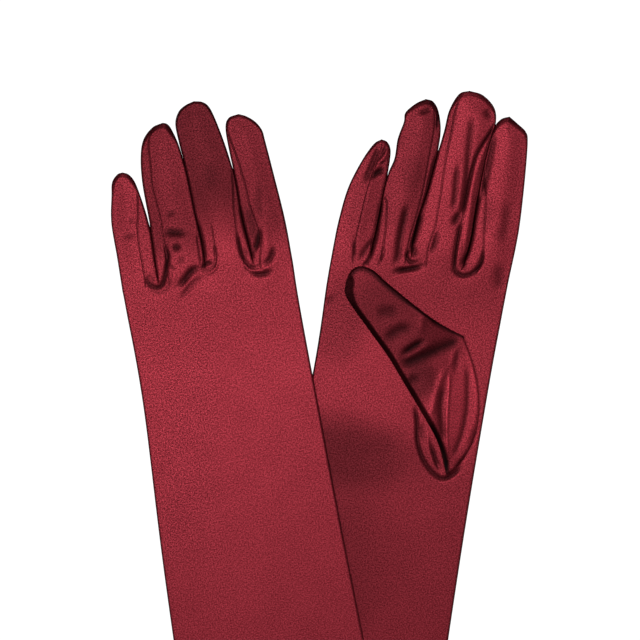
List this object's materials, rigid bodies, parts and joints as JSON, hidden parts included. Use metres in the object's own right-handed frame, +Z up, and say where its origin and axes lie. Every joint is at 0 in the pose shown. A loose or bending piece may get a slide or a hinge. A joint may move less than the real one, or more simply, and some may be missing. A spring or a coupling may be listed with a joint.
{
  "type": "opera gloves",
  "caption": "Pair of long satin opera gloves laid flat and crossed, with set-in thumbs, fourchettes between the fingers and hemmed cuffs.",
  "frame": {"origin": "centre of the pair's footprint, on the surface that the gloves lie on", "axes": "+Y along the gloves towards the fingertips, +X towards the right glove's thumb edge, +Z up off the surface"},
  "size_m": [0.2128, 0.5714, 0.0131],
  "materials": {
    "satin": "burgundy stretch satin, soft sheen, fine grain",
    "seam_satin": "burgundy stretch satin strips and seams, a little darker in the folds",
    "hem_satin": "turned and stitched satin band"
  },
  "bodies": {
    "right_glove": {"right_back_panel": "satin", "right_palm_panel": "satin", "right_thumb_gusset": "satin", "right_little_side_seam": "seam_satin", "right_thumb_side_seam": "seam_satin", "right_cuff_hem": "hem_satin"},
    "right_little": {"right_little_back": "satin", "right_little_palm": "satin", "right_little_outer_seam": "seam_satin", "right_little_fourchette_thumb_side": "seam_satin"},
    "right_ring": {"right_ring_back": "satin", "right_ring_palm": "satin", "right_ring_fourchette_little_side": "seam_satin", "right_ring_fourchette_thumb_side": "seam_satin"},
    "right_middle": {"right_middle_back": "satin", "right_middle_palm": "satin", "right_middle_fourchette_little_side": "seam_satin", "right_middle_fourchette_thumb_side": "seam_satin"},
    "right_index": {"right_index_back": "satin", "right_index_palm": "satin", "right_index_fourchette_little_side": "seam_satin", "right_index_outer_seam": "seam_satin"},
    "right_thumb": {"right_thumb_under_ply": "satin", "right_thumb_upper_ply": "satin", "right_thumb_seam": "seam_satin", "right_thumb_fold": "seam_satin"},
    "left_glove": {"left_back_panel": "satin", "left_palm_panel": "satin", "left_thumb_gusset": "satin", "left_little_side_seam": "seam_satin", "left_thumb_side_seam": "seam_satin", "left_cuff_hem": "hem_satin"},
    "left_little": {"left_little_back": "satin", "left_little_palm": "satin", "left_little_outer_seam": "seam_satin", "left_little_fourchette_thumb_side": "seam_satin"},
    "left_ring": {"left_ring_back": "satin", "left_ring_palm": "satin", "left_ring_fourchette_little_side": "seam_satin", "left_ring_fourchette_thumb_side": "seam_satin"},
    "left_middle": {"left_middle_back": "satin", "left_middle_palm": "satin", "left_middle_fourchette_little_side": "seam_satin", "left_middle_fourchette_thumb_side": "seam_satin"},
    "left_index": {"left_index_back": "satin", "left_index_palm": "satin", "left_index_fourchette_little_side": "seam_satin", "left_index_outer_seam": "seam_satin"},
    "left_thumb": {"left_thumb_under_ply": "satin", "left_thumb_upper_ply": "satin", "left_thumb_seam": "seam_satin", "left_thumb_fold": "seam_satin"}
  },
  "joints": [
    {"name": "right_little_fold", "type": "hinge", "parent": "right_glove", "child": "right_little", "pos_m": [0.01722, 0.20363, 0.0064], "axis": [0.9851, -0.1719, 0], "range_deg": [0, 90]},
    {"name": "right_ring_fold", "type": "hinge", "parent": "right_glove", "child": "right_ring", "pos_m": [0.03801, 0.2, 0.0064], "axis": [0.9851, -0.1719, 0], "range_deg": [0, 90]},
    {"name": "right_middle_fold", "type": "hinge", "parent": "right_glove", "child": "right_middle", "pos_m": [0.06165, 0.19588, 0.0064], "axis": [0.9851, -0.1719, 0], "range_deg": [0, 90]},
    {"name": "right_index_fold", "type": "hinge", "parent": "right_glove", "child": "right_index", "pos_m": [0.0848, 0.19184, 0.0064], "axis": [0.9851, -0.1719, 0], "range_deg": [0, 90]},
    {"name": "right_thumb_turn_out", "type": "hinge", "parent": "right_glove", "child": "right_thumb", "pos_m": [0.06992, 0.13099, 0.0098], "axis": [0.1719, 0.9851, 0], "range_deg": [0, 165]},
    {"name": "left_glove_lift", "type": "slide", "parent": "right_glove", "child": "left_glove", "axis": [0, 0, 1], "range_m": [0, 0.15]},
    {"name": "left_little_fold", "type": "hinge", "parent": "left_glove", "child": "left_little", "pos_m": [-0.09158, 0.18615, 0.0131], "axis": [0.9857, 0.1685, 0], "range_deg": [0, 90]},
    {"name": "left_ring_fold", "type": "hinge", "parent": "left_glove", "child": "left_ring", "pos_m": [-0.07078, 0.18971, 0.0131], "axis": [0.9857, 0.1685, 0], "range_deg": [0, 90]},
    {"name": "left_middle_fold", "type": "hinge", "parent": "left_glove", "child": "left_middle", "pos_m": [-0.04712, 0.19375, 0.0131], "axis": [0.9857, 0.1685, 0], "range_deg": [0, 90]},
    {"name": "left_index_fold", "type": "hinge", "parent": "left_glove", "child": "left_index", "pos_m": [-0.02396, 0.19771, 0.0131], "axis": [0.9857, 0.1685, 0], "range_deg": [0, 90]},
    {"name": "left_thumb_swing", "type": "hinge", "parent": "left_glove", "child": "left_thumb", "pos_m": [-0.01757, 0.13539, 0.0033], "axis": [0, 0, -1], "range_deg": [0, 25]}
  ]
}
